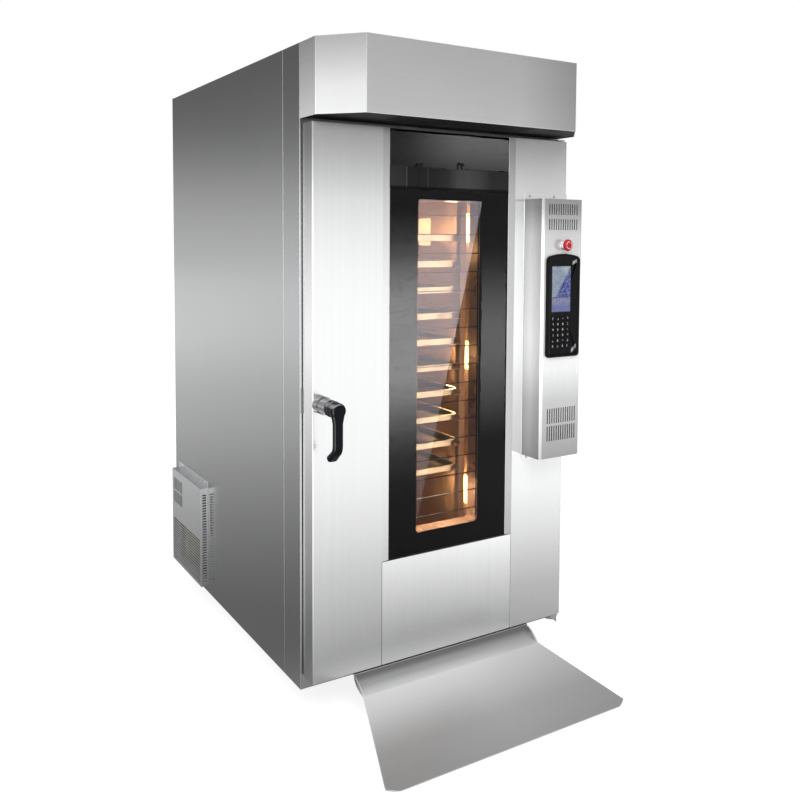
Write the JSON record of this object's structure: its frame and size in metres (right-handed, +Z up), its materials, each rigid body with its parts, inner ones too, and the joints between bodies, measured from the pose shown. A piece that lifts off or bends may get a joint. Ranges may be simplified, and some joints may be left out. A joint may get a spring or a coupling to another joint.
{
  "type": "rotating rack oven",
  "caption": "Insulated steel bakery oven with a full-height glazed door, canopy, door-mounted control box, loading ramp and a castored tray trolley that hangs from a turning head",
  "frame": {"origin": "on the floor, under the middle of the whole outline", "axes": "+X to the right seen from the front, +Y from the door to the back, +Z up"},
  "size_m": [1.03, 1.82, 2.195],
  "materials": {
    "outer_steel": "stainless sheet with a fine brushed grain",
    "inner_steel": "stainless sheet, slightly heat tinted",
    "frame_steel": "grey primer on steel section",
    "zinc_steel": "bright zinc plated steel",
    "dark_steel": "dark oxidised steel",
    "cast_iron": "rough cast iron with light rust",
    "wool": "pressed mineral wool",
    "motor_paint": "grey blue motor enamel",
    "black_sheet": "black enamel",
    "door_glass": "tinted heat reflecting glass",
    "clear_glass": "clear heat proof glass",
    "screen_glass": "touch screen glass over a pale blue display",
    "lamp_glass": "frosted heat proof lamp cover",
    "seal": "dark silicone profile",
    "black_plastic": "matt black heat proof plastic",
    "black_gloss": "gloss black front frame",
    "red_plastic": "red gloss plastic",
    "chrome": "polished chrome",
    "brass": "plain brass",
    "aluminium": "used aluminium pan",
    "wheel_resin": "heat proof phenolic resin"
  },
  "bodies": {
    "cabinet": {"base_frame": "frame_steel", "levelling_feet": "zinc_steel", "floor_pan": "inner_steel", "front_frame": "outer_steel", "left_side_panel": "outer_steel", "right_side_panel": "outer_steel", "rear_panel": "outer_steel", "roof_panel": "outer_steel", "cabinet_insulation": "wool", "chamber_walls": "inner_steel", "chamber_rear_wall": "inner_steel", "heating_elements": "dark_steel", "fan_motor": "motor_paint", "steam_cascade": "cast_iron", "lamp_housings": "inner_steel", "lamp_glasses": "lamp_glass", "hood_shell": "outer_steel", "hood_base": "black_sheet", "side_vent_cover": "outer_steel", "cover_screws": "zinc_steel", "hinge_brackets": "zinc_steel", "latch_keeper": "inner_steel", "gearmotor": "motor_paint", "flue_collar": "outer_steel", "water_inlet": "brass", "cable_gland": "black_plastic"},
    "door": {"door_left_stile": "outer_steel", "door_right_stile": "outer_steel", "door_bottom_panel": "outer_steel", "door_inner_pan": "inner_steel", "door_insulation": "wool", "outer_glass": "door_glass", "glass_border": "black_sheet", "inner_glass": "clear_glass", "window_guard": "dark_steel", "glass_clamp_bar": "black_sheet", "door_gasket": "seal", "control_box": "outer_steel", "control_box_backplate": "outer_steel", "door_screws": "zinc_steel", "controller_bezel": "black_gloss", "controller_screen": "screen_glass", "keypad": "black_plastic", "estop_collar": "chrome", "lever_neck": "zinc_steel"},
    "lever": {"lever_grip": "black_plastic", "lever_spindle": "zinc_steel"},
    "stop_stem": {"estop_stem": "black_plastic"},
    "stop_head": {"estop_head": "red_plastic"},
    "fan": {"fan_impeller": "inner_steel"},
    "ramp": {"ramp_plate": "outer_steel"},
    "rack": {"rack_carrier": "dark_steel", "trolley_frame": "inner_steel", "baking_trays": "aluminium"},
    "castor_left": {"castor_fork_left": "zinc_steel"},
    "castor_right": {"castor_fork_right": "zinc_steel"},
    "wheel_front_left": {"front_left_wheel": "wheel_resin"},
    "wheel_front_right": {"front_right_wheel": "wheel_resin"},
    "wheel_rear_left": {"rear_left_wheel": "wheel_resin"},
    "wheel_rear_right": {"rear_right_wheel": "wheel_resin"}
  },
  "joints": [
    {"name": "door_swing", "type": "hinge", "parent": "cabinet", "child": "door", "pos_m": [0.503, -0.475, 1], "axis": [0, 0, 1], "range_deg": [0, 120]},
    {"name": "lever_turn", "type": "hinge", "parent": "door", "child": "lever", "pos_m": [-0.45, -0.555, 1.008], "axis": [0, -1, 0], "range_deg": [0, 90]},
    {"name": "stop_push", "type": "slide", "parent": "door", "child": "stop_stem", "axis": [0, 1, 0], "range_m": [0, 0.005]},
    {"name": "stop_twist", "type": "hinge", "parent": "stop_stem", "child": "stop_head", "pos_m": [0.423, -0.625, 1.491], "axis": [0, -1, 0], "range_deg": [0, 45], "stiffness_Nm_per_rad": 0.05},
    {"name": "fan_spin", "type": "hinge", "parent": "cabinet", "child": "fan", "pos_m": [0.015, 0.6015, 1.65], "axis": [0, 0, 1], "continuous": true},
    {"name": "ramp_pull", "type": "slide", "parent": "cabinet", "child": "ramp", "axis": [0, -1, 0], "range_m": [0, 0.2]},
    {"name": "rack_turn", "type": "hinge", "parent": "cabinet", "child": "rack", "pos_m": [0.015, 0.015, 1.75], "axis": [0, 0, 1], "continuous": true},
    {"name": "castor_left_swivel", "type": "hinge", "parent": "rack", "child": "castor_left", "pos_m": [-0.16, -0.18, 0.255], "axis": [0, 0, 1], "continuous": true},
    {"name": "castor_right_swivel", "type": "hinge", "parent": "rack", "child": "castor_right", "pos_m": [0.19, -0.18, 0.255], "axis": [0, 0, 1], "continuous": true},
    {"name": "front_left_roll", "type": "hinge", "parent": "castor_left", "child": "wheel_front_left", "pos_m": [-0.16, -0.145, 0.194], "axis": [1, 0, 0], "continuous": true},
    {"name": "front_right_roll", "type": "hinge", "parent": "castor_right", "child": "wheel_front_right", "pos_m": [0.19, -0.145, 0.194], "axis": [1, 0, 0], "continuous": true},
    {"name": "rear_left_roll", "type": "hinge", "parent": "rack", "child": "wheel_rear_left", "pos_m": [-0.16, 0.245, 0.194], "axis": [1, 0, 0], "continuous": true},
    {"name": "rear_right_roll", "type": "hinge", "parent": "rack", "child": "wheel_rear_right", "pos_m": [0.19, 0.245, 0.194], "axis": [1, 0, 0], "continuous": true}
  ]
}
